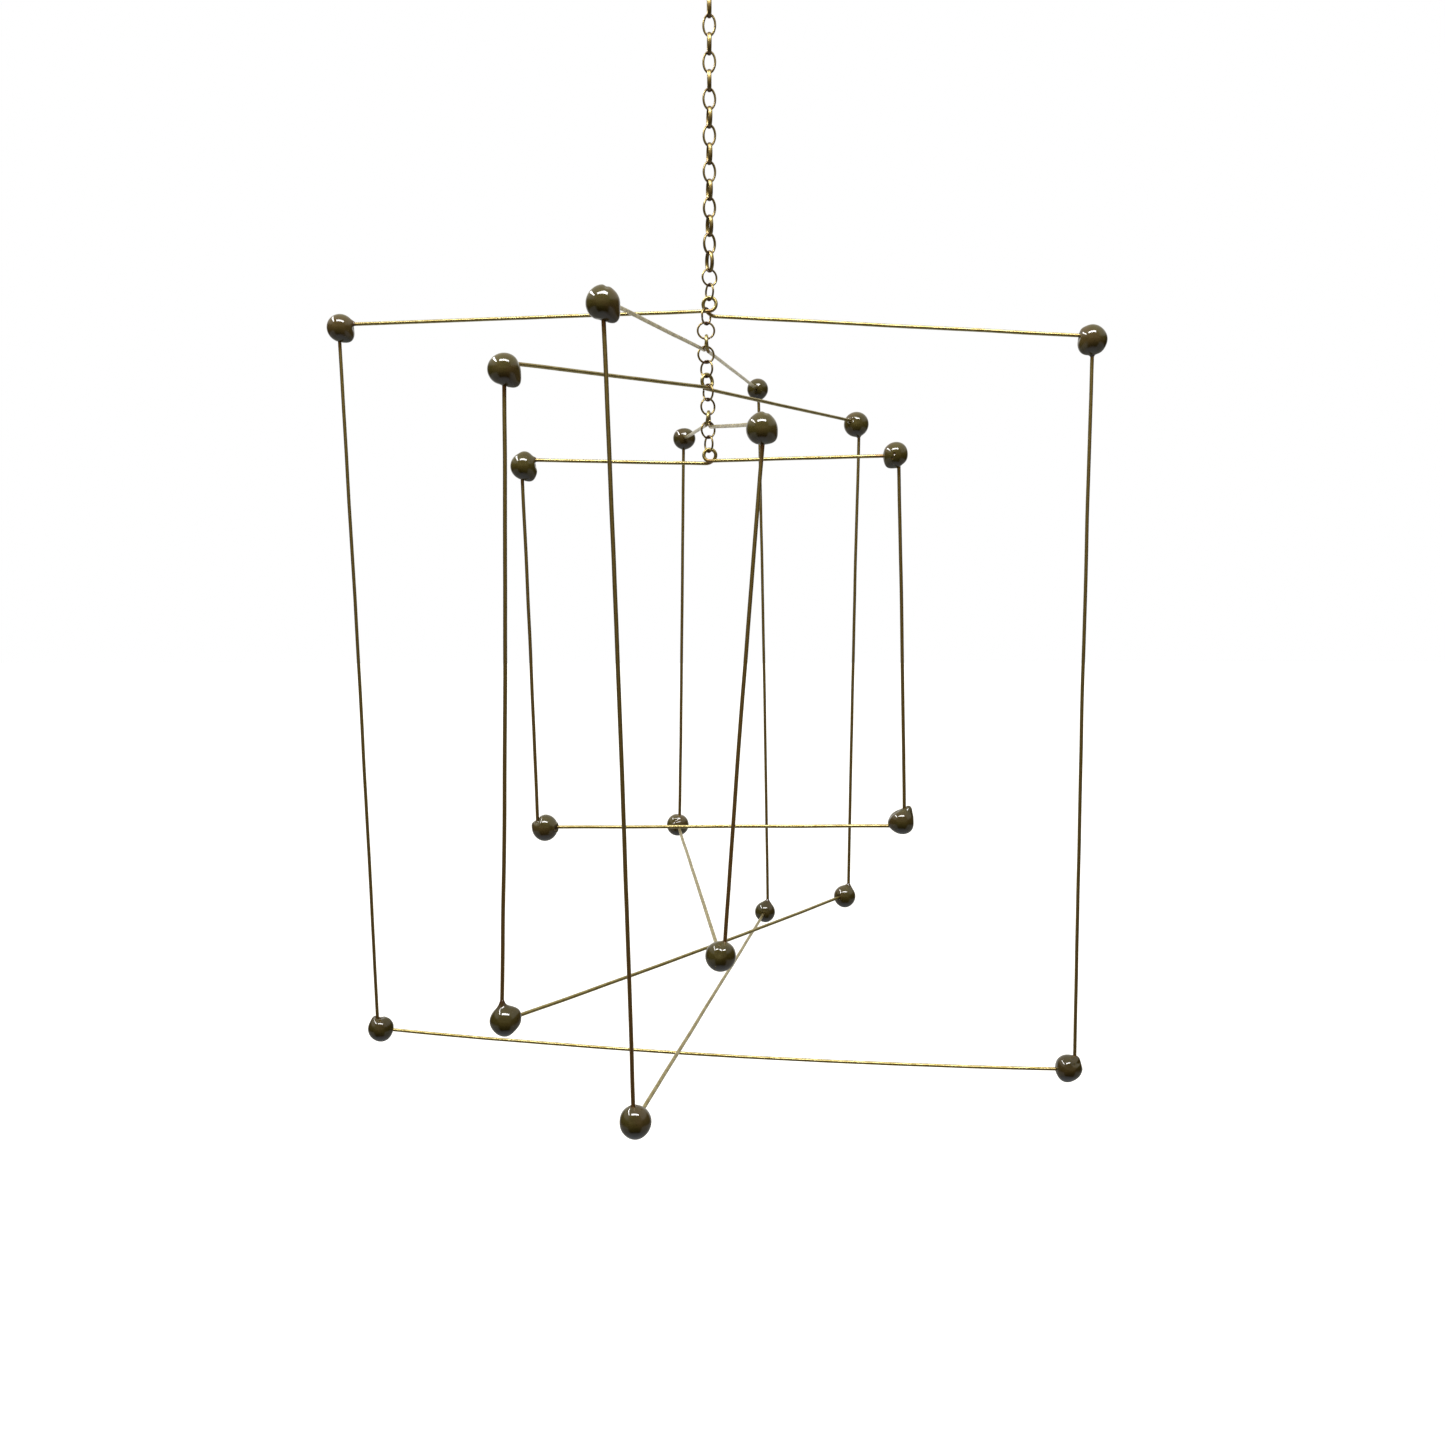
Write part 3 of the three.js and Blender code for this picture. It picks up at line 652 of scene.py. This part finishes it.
# Each of a frame's two rings is (turn, shift, turn of its cut), and the heats of a wire are for
# its start and its end. A bead is moved (along, across, up) from its corner, and "upright" and
# "cross" shift its two wires. Its lumps are (clock, height, spread, forward), its folds (start,
# end, depth, spread), its pits (clock, forward, depth, reach), its mouths (pull, spread). Angles
# are in degrees: clock ones count up from the right, forward ones turn to the front.
frames = [
    {
        "name": "outer", "turn": -7.6, "width": 333, "height": 331, "drop": 12.8, "shift": 0,
        "eyeBore": 4.4, "armStep": 2.0, "hand": 1, "strandSide": 1,
        "rings": [(33, 0, 250), (-64, 0, 60)],
        "bows": {"left": 0.4, "right": -0.6, "bottom": -3.3},
        "heats": {"top": (0.3, 0.25), "left": (0.9, 0.45), "right": (0.3, 0.4), "bottom": (0, 0.3)},
        "beads": {
            "top_left": {
                "moved": (-3.1, -2.9, 5.0), "larger": 0.4, "upright": -0.7, "cross": 1.5,
                "lumps": [(-50, 1.35, 29), (5, -1.1, 15), (19, 0.9, 13)],
                "mouths": {"cross": (1.2, 0.45), "upright": (-0.15, 0.4)},
            },
            "top_right": {
                "moved": (-0.4, -0.4, -4.9), "larger": 0.2, "upright": 0.3, "cross": 1.5,
                "lumps": [(90, 0.25, 45), (235, 1.1, 34), (-55, 0.55, 28), (0, 0.45, 35),
                          (138, 0.35, 16), (172, -0.9, 17)],
                "mouths": {"upright": (0.9, 0.3)},
            },
            "bottom_left": {
                "moved": (2.2, 2.7, 1.3), "painted_shade": 0.4, "larger": 0.2, "upright": -1.3, "cross": -0.2,
                "lumps": [(20, 0.5, 22), (48, 0.4, 16), (118, 0.8, 17), (90, -1.8, 15),
                          (94, -0.9, 11, 24), (94, -0.9, 11, -24), (-75, 0.55, 40)],
                "mouths": {"upright": (-0.5, 0.5), "cross": (0.3, 0.3)},
            },
            "bottom_right": {
                "moved": (0.4, 0.3, -2.2), "painted_shade": 0.5, "larger": 0.8, "upright": 3.0, "cross": -0.4,
                "lumps": [(180, -0.8, 32), (-100, 1.1, 34), (51, 0.9, 16), (225, -0.2, 20),
                          (-3, 0.35, 13)],
                "folds": [((64, 52), (40, 24), 0.35, 7), ((82, 62), (70, 30), 0.3, 9)],
            },
        },
    },
    {
        "name": "second", "turn": 78.4, "width": 304, "height": 294, "drop": 5.8, "shift": -1.6,
        "eyeBore": 4.4, "armStep": 0.6, "hand": 1, "strandSide": -1,
        "rings": [(60, -1.5, 200), (5, -1.6, 300)],
        "bows": {"left": 0.5, "right": 0.4, "bottom": 0},
        "heats": {"top": (0.3, 0), "left": (1, 0.85), "right": (0.3, 0.4), "bottom": (0.2, 0)},
        "beads": {
            "top_left": {
                "moved": (-1.0, 4.2, 0.8), "larger": -0.2, "upright": 0.1, "cross": 1.5,
                "lumps": [(-52, 1.85, 27), (100, 0.35, 30), (-92, -0.8, 19)],
                "folds": [((82, -25), (72, 30), 0.3, 7)],
                "mouths": {"upright": (-0.3, 0.45)},
            },
            "top_right": {
                "moved": (0.4, 2.7, -0.8), "painted_shade": 0.25, "larger": -0.4, "upright": 0.4, "cross": 0,
                "lumps": [(-85, 0.3, 30)],
                "mouths": {"cross": (-0.5, 0.4), "upright": (0.9, 0.5)},
            },
            "bottom_left": {
                "moved": (0.7, -4.2, 1.1), "painted_shade": 0.3, "larger": 0.2, "upright": -0.6, "cross": 0,
                "lumps": [(-90, 0.55, 40), (180, -0.3, 30)],
                "mouths": {"upright": (-0.4, 0.5), "cross": (-0.2, 0.4)},
            },
            "bottom_right": {
                "moved": (-0.1, -2.7, -1.9), "painted_shade": 0.35, "larger": -0.4, "upright": 1.6, "cross": 0,
                "lumps": [(77, 1.3, 20), (-80, 0.4, 40)],
                "mouths": {"upright": (0.7, 0.3), "cross": (-0.4, 0.4)},
            },
        },
    },
    {
        "name": "third", "turn": 54.1, "width": 262, "height": 253, "drop": 9.1, "shift": -1.0,
        "eyeBore": 4.2, "armStep": 0.4, "hand": 1, "strandSide": 1,
        "rings": [(22, -1.6, 120), (-47, -1.3, 20)],
        "bows": {"left": 0.8, "right": -0.3, "bottom": -0.9},
        "heats": {"top": (0.4, 0.1), "left": (1, 0.75), "right": (0.3, 0.35), "bottom": (0.3, 0)},
        "beads": {
            "top_left": {
                "moved": (-0.2, -2.1, 2.9), "larger": 0.2, "upright": -0.2, "cross": 2.6,
                "lumps": [(-50, 1.75, 26), (180, 0.35, 40), (20, -0.35, 20), (-105, -0.35, 20)],
                "folds": [((-8, 30), (-35, 22), 0.12, 8)],
                "mouths": {"upright": (-0.2, 0.4)},
            },
            "top_right": {
                "moved": (0.1, -0.6, -2.9), "larger": 0.8, "upright": 1.6, "cross": 1.5,
                "lumps": [(40, 0.25, 60), (139, -0.5, 14, 60)],
                "mouths": {"upright": (0.7, 0.3), "cross": (-0.35, 0.4)},
            },
            "bottom_left": {
                "moved": (-1.3, 3.7, 3.0), "painted_shade": 0.35, "larger": 0.2, "upright": -1.5, "cross": 0.2,
                "lumps": [(38, 0.95, 26), (-45, -1.0, 25), (180, 0.3, 30), (-95, 0.2, 30)],
                "mouths": {"upright": (2.8, 0.75)},
            },
            "bottom_right": {
                "moved": (-0.9, 2.2, -2.8), "painted_shade": 0.15, "larger": -0.2, "upright": 2.0, "cross": 0.5,
                "lumps": [(70, 1.0, 18), (-90, 0.35, 40)],
                "mouths": {"upright": (0.8, 0.35), "cross": (-0.5, 0.6)},
            },
        },
    },
    {
        "name": "fourth", "turn": -82.7, "width": 215, "height": 205, "drop": 7.0, "shift": -0.7,
        "eyeBore": 4.2, "armStep": 0.8, "hand": 1, "strandSide": 1,
        "rings": [(-55, -0.7, 160), (36, -0.8, 280)],
        "bows": {"left": 0.2, "right": -0.4, "bottom": 0},
        "heats": {"top": (0, 0), "left": (0.4, 0.45), "right": (1, 0.85), "bottom": (0, 0.3)},
        "beads": {
            "top_left": {
                "moved": (0.1, 0.9, 4.3), "painted_shade": 0.2, "larger": -0.6, "upright": -0.2, "cross": 0,
                "lumps": [(0, 0.35, 40), (95, -0.4, 30)],
                "mouths": {"cross": (-0.35, 0.4)},
                "folds": [((150, 45), (85, 45), 0.2, 9)],
            },
            "top_right": {
                "moved": (0, 6.7, -4.4), "larger": 0, "upright": 0.6, "cross": 2.0,
                "lumps": [(90, 0.5, 30), (-38, 0.7, 22), (-92, -0.7, 18)],
                "folds": [((78, -20), (76, 22), 0.28, 7)],
                "pits": [(-106, 12, 0.5, 0.5)],
                "mouths": {"upright": (-0.3, 0.4)},
            },
            "bottom_left": {
                "moved": (-0.6, -3.2, 3.5), "larger": 0, "upright": 1.0, "cross": 0,
                "lumps": [(80, -0.6, 16)],
                "folds": [((125, 55), (78, 48), 0.3, 9)],
                "mouths": {"cross": (-0.4, 0.5)},
            },
            "bottom_right": {
                "moved": (0, -9.0, -3.2), "painted_shade": 0.2, "larger": 0.2, "upright": 1.5, "cross": 0,
                "lumps": [(-90, 0.3, 45), (95, -0.4, 35)],
                "folds": [((96, 66), (86, 22), 0.45, 10)],
            },
        },
    },
    {
        "name": "inner", "turn": -8.2, "width": 168, "height": 167, "drop": 2.7, "shift": 0,
        "eyeBore": 3.6, "armStep": 1.1, "hand": -1, "strandSide": 1,
        "rings": [(38, -0.7, 230), (-62, -0.4, 80)],
        "bows": {"left": 0.2, "right": 0.2, "bottom": 0},
        "heats": {"top": (0.7, 0.2), "left": (0.8, 0.45), "right": (0.2, 0.4), "bottom": (0.2, 0.2)},
        "beads": {
            "top_left": {
                "moved": (-1.9, -1.0, -1.9), "larger": 0, "upright": -0.8, "cross": 2.9,
                "lumps": [(80, 0.9, 32), (32, 0.9, 11), (8, -0.8, 17), (-58, 1.6, 27),
                          (-24, 0.4, 16), (112, -0.3, 9)],
                "mouths": {"cross": (0.6, 0.35), "upright": (-0.2, 0.4)},
            },
            "top_right": {
                "moved": (-1.2, -1.1, 1.9), "larger": -1, "upright": 1.6, "cross": 0,
                "lumps": [(50, 0.6, 35), (-125, 0.7, 22), (180, -0.3, 20), (-52, -0.45, 22),
                          (100, 0.3, 40)],
                "pits": [(150, 78, 0.3, 0.5), (215, 66, 0.22, 0.4)],
            },
            "bottom_left": {
                "moved": (4.5, 1.4, -3.7), "painted_shade": 0.15, "larger": 0.4, "upright": -3.4, "cross": 0.2,
                "lumps": [(133, -2.5, 15), (132, -1.5, 14, 30), (132, -1.5, 14, -30),
                          (110, -0.4, 14), (162, 0.3, 16), (-90, 0.3, 40)],
                "pits": [(2, 26, 1.0, 1.0)],
                "darkened": 0.9,
                "mouths": {"upright": (-0.3, 0.5), "cross": (-1.2, 0.7)},
            },
            "bottom_right": {
                "moved": (4.4, 1.5, 4.0), "painted_shade": 0.3, "larger": -0.4, "upright": 1.3, "cross": -2.2,
                "lumps": [(62, 2.3, 18), (34, 0.35, 18), (122, -1.1, 22), (156, -0.5, 16),
                          (190, 0.5, 26), (0, -0.3, 22), (-50, 0.5, 35)],
                "mouths": {"upright": (-0.2, 0.4)},
            },
        },
    },
]


def turnedOut(part, point, level):  # from a frame's own axes to the mobile's
    angle = math.radians(part["turn"])
    x = point.x * math.cos(angle) - point.y * math.sin(angle)
    y = point.x * math.sin(angle) + point.y * math.cos(angle)
    return Vector((x + part["shift"], y, point.z + level))


def toTheRight(part, distance):
    angle = math.radians(part["turn"])
    return Vector((distance * math.cos(angle), -distance * math.sin(angle), 0))


def beadCentre(part, corner):
    along, across, rise = part["beads"][corner]["moved"]
    side = -1 if corner.endswith("left") else 1
    level = -part["drop"] if corner.startswith("top") else -part["drop"] - part["height"]
    return Vector((side * part["width"] / 2 + along, across, level + rise))


def uprightEnd(part, corner):
    end = beadCentre(part, corner) + toTheRight(part, part["beads"][corner]["upright"])
    end.z += -shared["wireStop"] if corner.startswith("top") else shared["wireStop"]
    return end


def crossEnd(part, corner):
    end = beadCentre(part, corner)
    end.z += part["beads"][corner]["cross"]
    end.x += shared["wireStop"] if corner.endswith("left") else -shared["wireStop"]
    return end


def bent(start, corner, end, steps):  # a quadratic curve
    points = []
    for i in range(steps + 1):
        t = i / steps
        points.append(start * (1 - t) ** 2 + corner * 2 * t * (1 - t) + end * t ** 2)
    return points


def bowed(start, end, bow):
    return bent(start, (start + end) / 2 + bow * 2, end, shared["bowSteps"])


def topWirePath(part):
    radius = (part["eyeBore"] + shared["wire"]) / 2
    strand = (shared["wire"] + shared["strandGap"]) / 2
    steps = shared["eyeSteps"]
    loop = []
    for i in range(steps + 1):
        share = i / steps
        angle = math.radians(shared["eyeStart"] + (shared["eyeEnd"] - shared["eyeStart"]) * share)
        loop.append(Vector((
            part["hand"] * radius * math.cos(angle),
            -part["strandSide"] * strand * math.cos(math.pi * share),
            radius * math.sin(angle),
        )))
    sides = ["top_left", "top_right"] if part["hand"] > 0 else ["top_right", "top_left"]
    first, last = (crossEnd(part, corner) for corner in sides)
    leaving = loop[-1]
    end = math.radians(shared["eyeEnd"])
    lower = -radius - part["armStep"]
    run = (leaving.z - lower) * math.sin(end) / math.cos(end)
    corner = Vector((leaving.x + part["hand"] * run, leaving.y, lower))
    outward = (last - corner).normalized()
    bend = bent(leaving, corner, corner + outward * shared["armBend"], shared["bendSteps"])
    return [first, *loop, *bend[1:], last]


# wires
wireSizes = {
    "step": 0.8,
    "unevenness": 0.03,
    "wander": 0.12,  # how far the wire wanders from a true line
    "trueEnd": 20.0,  # it wanders less this close to a bead
    "trueEye": (4.0, 20.0),  # and doesn't at the eye
    "wanderPitch": 22,  # per metre
    "swellPitch": 260,
    "mottleScale": 0.6,  # times the pitch of the swell
    "mottle": 12.0,  # how far the edge of the browning strays
    "hotEnd": 3.0,  # the wire is browned in full this close to a bead
    "heatReach": 12.0,  # how far the torch has browned the wire from a bead
    "lowReach": 190.0,  # and upwards from the lower bead
    "eyeShadeReach": 3.0,  # painted shade reaches this far round the crossing under the eye
    "uprightFrom": 100,  # a wire that drops further than this is an upright
    "sides": 14,
}


def makeWireTree():
    graph, sizes = newTree("drawn wire", {
        "Wire radius": "Float", "Unevenness": "Float", "Wander": "Float", "Step": "Float",
        "First reach": "Float", "First heat": "Float", "Last reach": "Float", "Last heat": "Float",
        "Eye": "Vector", "Eye shade reach": "Float",
        "Seed": "Float", "Sides": "Int", "Finish": "Material",
    })
    path = graph.add("GeometryNodeResampleCurve", {"mode": "LENGTH"}, {
        "Curve": sizes["Geometry"], "Length": sizes["Step"]})
    run = graph.add("GeometryNodeSplineParameter", output="Length")
    whole = graph.add("GeometryNodeSplineLength", output="Length")
    fromEnd = graph.add("ShaderNodeMath", {"operation": "MINIMUM"}, {0: run, 1: whole - run})
    place = graph.add("GeometryNodeInputPosition")
    toEye = graph.add("ShaderNodeVectorMath", {"operation": "DISTANCE"}, {
        0: place, 1: sizes["Eye"]}, "Value")
    trueEnd = wireSizes["trueEnd"] * mm
    trueEye = [distance * mm for distance in wireSizes["trueEye"]]
    ease = graph.ranged(fromEnd, 0.0, trueEnd) * graph.ranged(toEye, *trueEye)
    lane = graph.add("ShaderNodeCombineXYZ", {}, {
        "X": run * wireSizes["wanderPitch"], "Y": sizes["Seed"]})
    drift = graph.other(noise(graph, lane, 1.0, 1.0), "Color")
    drift = graph.add("ShaderNodeVectorMath", {"operation": "SUBTRACT"}, {
        0: drift, 1: (0.5, 0.5, 0.5)}, "Vector")
    drift = graph.add("ShaderNodeVectorMath", {"operation": "SCALE"}, {
        0: drift, "Scale": ease * sizes["Wander"] * 4}, "Vector")  # noise strays by a quarter
    path = graph.add("GeometryNodeSetPosition", {}, {"Geometry": path, "Offset": drift})
    fine = graph.add("ShaderNodeCombineXYZ", {}, {
        "X": run * wireSizes["swellPitch"], "Y": sizes["Seed"], "Z": 3.0})
    swell = noise(graph, fine, 1.0, 2.0)
    path = graph.add("GeometryNodeSetCurveRadius", {}, {
        "Curve": path, "Radius": 1 + (swell - 0.5) * sizes["Unevenness"]})
    mottle = noise(graph, fine, wireSizes["mottleScale"], 3.0)
    patchy = (mottle - 0.5) * (wireSizes["mottle"] * mm)
    hotEnd = wireSizes["hotEnd"] * mm
    first = graph.ranged(run + patchy, hotEnd, sizes["First reach"], 1.0, 0.0)
    last = graph.ranged(whole - run + patchy, hotEnd, sizes["Last reach"], 1.0, 0.0)
    ends = first * sizes["First heat"] + last * sizes["Last heat"]
    # painted shade round the crossing under the eye, joined with the torch browning at the ends
    eye = graph.ranged(toEye, 0.0, sizes["Eye shade reach"], 1.0, 0.0)
    darkening = graph.add("ShaderNodeMath", {"operation": "MAXIMUM"}, {0: ends, 1: eye})
    wire = swept(graph, darkened(graph, path, darkening), sizes)
    return closeTree(graph, wire, sizes["Finish"])


wireTree = makeWireTree()
farAway = (0, 0, 9)  # the eye's place for a wire that has none, in metres


def makeWire(name, sizes, points, seed, heats, crossing):
    upright = abs(points[0].z - points[-1].z) > sizes["uprightFrom"]
    curve = bpy.data.curves.new(name + "_path", "CURVE")
    curve.dimensions = "3D"
    spline = curve.splines.new("POLY")
    spline.points.add(len(points) - 1)
    for point, place in zip(spline.points, points):
        point.co = (*(place * mm), 1)
    piece = grown(name, wireTree, {
        "Wire radius": shared["wire"] / 2 * mm,
        "Unevenness": sizes["unevenness"],
        "Wander": sizes["wander"] * mm,
        "Step": sizes["step"] * mm,
        "First reach": sizes["heatReach"] * mm,
        "Last reach": sizes["lowReach" if upright else "heatReach"] * mm,
        "First heat": float(heats[0]),
        "Last heat": float(heats[1]),
        "Eye": crossing * mm if crossing else farAway,
        "Eye shade reach": sizes["eyeShadeReach"] * mm,
        "Seed": float(seed),
        "Sides": sizes["sides"],
        "Finish": brassWire,
    }, curve)
    handIn(piece, name)


# beads
beadSizes = {
    "cuts": 5,
    "mouth": (0.2, 0.35),  # how far the glaze creeps up a wire, and how fast that falls off
    "finer": 2.0,  # the mesh is cut finer this far round a wire's mouth
    "rolls": 9,  # rolled by hand, so never quite round
    "waver": 0.05,
    "waverSpread": 0.5,
    "foldRim": (0.3, 2, 1.3),  # how high a raised rim is, how far out and how wide
    "pitRim": (0.4, 1.7, 0.6),
    "mouthRim": (0.35, 1.7, 0.6),
    # painted shade in the pits, over the thin glaze's reddish brown
    "pitThin": 0.8,
    "mouthThin": (0.4, 0.8),  # from and at most
}


def aimed(clock, forward=0):  # a direction seen from the front, as on a clock face, turned to the front
    clock = math.radians(clock)
    forward = math.radians(forward)
    return np.array([
        math.cos(clock) * math.cos(forward), -math.sin(forward), math.sin(clock) * math.cos(forward)])


def smoothFall(distance, spread):
    return np.exp(-(distance / spread) ** 2)


def dented(distance, spread, rim):  # a hollow of depth one with a raised rim
    height, out, width = rim
    raised = height * smoothFall(distance - spread * out, spread * width)
    return raised - smoothFall(distance, spread)


def angleFrom(towards, direction):
    return np.arccos(np.clip(towards @ direction, -1, 1))


def finerSphere(cuts, spots):  # a unit ball, finer round the spots, given as (direction, angle)
    body = bmesh.new()
    bmesh.ops.create_icosphere(body, subdivisions=cuts, radius=1)
    for direction, reach in spots:
        direction = Vector(direction)
        near = {v for v in body.verts if v.co.angle(direction) < reach}
        edges = [e for e in body.edges if e.verts[0] in near and e.verts[1] in near]
        bmesh.ops.subdivide_edges(body, edges=edges, cuts=1)
        for vertex in body.verts:
            vertex.co.normalize()
    bmesh.ops.triangulate(body, faces=body.faces[:])
    return body


def finerSpots(bead, sizes, size, centre, wires):
    spots = []
    for end, direction in wires.values():
        mouth = np.array(end - centre) + np.array(direction) * (size - shared["wireStop"])
        spots.append((mouth / np.linalg.norm(mouth), sizes["finer"] / size))
    for clock, forward, depth, reach in bead.get("pits", []):
        spots.append((aimed(clock, forward), reach * 2 / size))
    return spots


def rolledRadius(bead, sizes, size, towards, chance):
    radius = np.full(len(towards), size)
    for i in range(sizes["rolls"]):
        direction = chance.normal(size=3)
        direction /= np.linalg.norm(direction)
        height = chance.uniform(-1, 1) * sizes["waver"]
        radius += height * smoothFall(angleFrom(towards, direction), sizes["waverSpread"])
    for clock, height, spread, *forward in bead["lumps"]:
        angle = angleFrom(towards, aimed(clock, *forward))
        radius += height * smoothFall(angle, math.radians(spread))
    for start, end, depth, spread in bead.get("folds", []):
        line = [aimed(*start) * (1 - t) + aimed(*end) * t for t in np.linspace(0, 1, 17)]
        angle = np.min([angleFrom(towards, p / np.linalg.norm(p)) for p in line], axis=0)
        radius += depth * dented(angle, math.radians(spread), sizes["foldRim"])
    return radius


def drawnMouth(bead, sizes, points, thin_glaze_and_shade, kind, end, direction):  # glaze pulled up or down a wire
    pull, spread = bead.get("mouths", {}).get(kind, sizes["mouth"])
    along = (points - end) @ direction
    away = np.linalg.norm(points - end - along[:, None] * direction, axis=1) - shared["wire"] / 2
    away = np.maximum(away, 0)
    if pull >= 0:
        lift = np.exp(-away / spread)
        least, most = sizes["mouthThin"]
        mouthTint = lift * min(most, least + pull / 2)
    else:
        lift = -dented(away, spread, sizes["mouthRim"])
        # a sunk mouth: painted shade darkens the hollow round the wire
        mouthTint = smoothFall(away, spread) * bead.get("darkened", 0.3)
    lift = np.where(along > 0, lift * pull, 0)
    thin_glaze_and_shade = np.maximum(thin_glaze_and_shade, np.where(along > 0, mouthTint, 0))
    return points + lift[:, None] * direction, thin_glaze_and_shade


def keptInBox(points, middle):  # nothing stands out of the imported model's box
    for axis in range(3):
        low, high = cadBox[0][axis] - middle[axis], cadBox[1][axis] - middle[axis]
        reach = points[:, axis] - middle[axis]
        shrink = np.where(reach > 0, min(1, high / reach.max()), min(1, low / reach.min()))
        points[:, axis] = middle[axis] + reach * shrink
    return points


def makeBead(name, bead, sizes, centre, wires):
    size = (shared["bead"] + bead["larger"]) / 2
    body = finerSphere(sizes["cuts"], finerSpots(bead, sizes, size, centre, wires))
    towards = np.array([v.co for v in body.verts])
    chance = np.random.default_rng(sum(map(ord, name)))
    radius = rolledRadius(bead, sizes, size, towards, chance)
    thin_glaze_and_shade = np.zeros(len(towards))
    for clock, forward, depth, reach in bead.get("pits", []):
        away = angleFrom(towards, aimed(clock, forward)) * size
        radius += depth * dented(away, reach, sizes["pitRim"])
        # painted shade in the pit, over the thin glaze's reddish brown
        thin_glaze_and_shade = np.maximum(thin_glaze_and_shade, smoothFall(away, reach) * sizes["pitThin"])
    points = towards * radius[:, None]
    for kind, (end, direction) in wires.items():
        points, thin_glaze_and_shade = drawnMouth(
            bead, sizes, points, thin_glaze_and_shade, kind, np.array(end - centre), np.array(direction))
    middle = np.array(centre) * mm
    points = keptInBox((points + np.array(centre)) * mm, middle)
    for vertex, place in zip(body.verts, points):
        vertex.co = place
    bmesh.ops.recalc_face_normals(body, faces=body.faces[:])
    mesh = bpy.data.meshes.new(name)
    body.to_mesh(mesh)
    body.free()
    mesh.shade_smooth()
    # painted shade, the same all over the bead
    painted_shade = np.full(len(points), bead.get("painted_shade", 0.0))
    for label, values in {"thin_glaze_and_shade": thin_glaze_and_shade, "painted_shade": painted_shade}.items():
        layer = mesh.attributes.new(label, "FLOAT", "POINT")
        layer.data.foreach_set("value", values.astype(np.float32))
    mesh.materials.append(glaze)
    piece = bpy.data.objects.new(name, mesh)
    scene.collection.objects.link(piece)
    handIn(piece, name)


# everything, from the top down
def endsOf(points):
    return (
        (points[0], (points[1] - points[0]).normalized()),
        (points[-1], (points[-2] - points[-1]).normalized()),
    )


def makeFrame(part, level, seed):
    name = part["name"]
    bows = part["bows"]
    paths = {"top": topWirePath(part)}
    for side in ("left", "right"):
        upper, lower = uprightEnd(part, "top_" + side), uprightEnd(part, "bottom_" + side)
        paths[side] = bowed(upper, lower, toTheRight(part, bows[side]))
    left, right = crossEnd(part, "bottom_left"), crossEnd(part, "bottom_right")
    paths["bottom"] = bowed(left, right, Vector((0, 0, bows["bottom"])))
    radius = (part["eyeBore"] + shared["wire"]) / 2
    crossing = turnedOut(part, Vector((0, 0, -radius)), level)
    ends = {}
    for i, (side, points) in enumerate(paths.items()):
        points = [turnedOut(part, point, level) for point in points]
        makeWire(name + "_" + side + "_wire", wireSizes, points, seed + i * shared["sideSeed"],
                 part["heats"][side], crossing if side == "top" else None)
        ends[side] = endsOf(points)
    if part["hand"] < 0:
        ends["top"] = ends["top"][::-1]
    corners = {
        "top_left": {"upright": ends["left"][0], "cross": ends["top"][0]},
        "top_right": {"upright": ends["right"][0], "cross": ends["top"][1]},
        "bottom_left": {"upright": ends["left"][1], "cross": ends["bottom"][0]},
        "bottom_right": {"upright": ends["right"][1], "cross": ends["bottom"][1]},
    }
    for corner, wires in corners.items():
        centre = turnedOut(part, beadCentre(part, corner), level)
        makeBead(name + "_" + corner + "_bead", part["beads"][corner], beadSizes, centre, wires)


gap = shared["hangGap"]
pitch = chainSizes["length"] + chainSizes["bite"]
firstLink = -hangRingSizes["bore"] + gap - chainSizes["length"] / 2
linkTop = firstLink + pitch / 2
makeRing("hanging_ring", hangRingSizes, 0, linkTop, 0, 0, hangRingSizes["cutTurn"])
makeChain("hanging_chain", chainSizes, pitch, firstLink)
print("hanging ring and chain ready")

seat = firstLink - (chainSizes["count"] - 1) * pitch - chainSizes["length"] / 2
bearing = seat - chainSizes["bite"] / 2  # where the next ring really bears
strand = (shared["wire"] + shared["strandGap"]) / 2
lift = strand ** 2 / (ringSizes["bore"] - shared["wire"])
for number, part in enumerate(frames):
    for label, (turn, shift, cutTurn) in zip(("upper", "lower"), part["rings"]):
        seat += gap - ringSizes["bore"]
        top = bearing
        bearing = seat + (gap / 2 if label == "upper" else gap)
        ringName = part["name"] + "_" + label + "_jump_ring"
        makeRing(ringName, ringSizes, top, bearing, shift, turn, cutTurn)
    makeFrame(part, seat + gap - part["eyeBore"] / 2, number * shared["frameSeed"])
    seat += gap - part["eyeBore"] + lift
    bearing = seat
    print(part["name"], "frame ready")
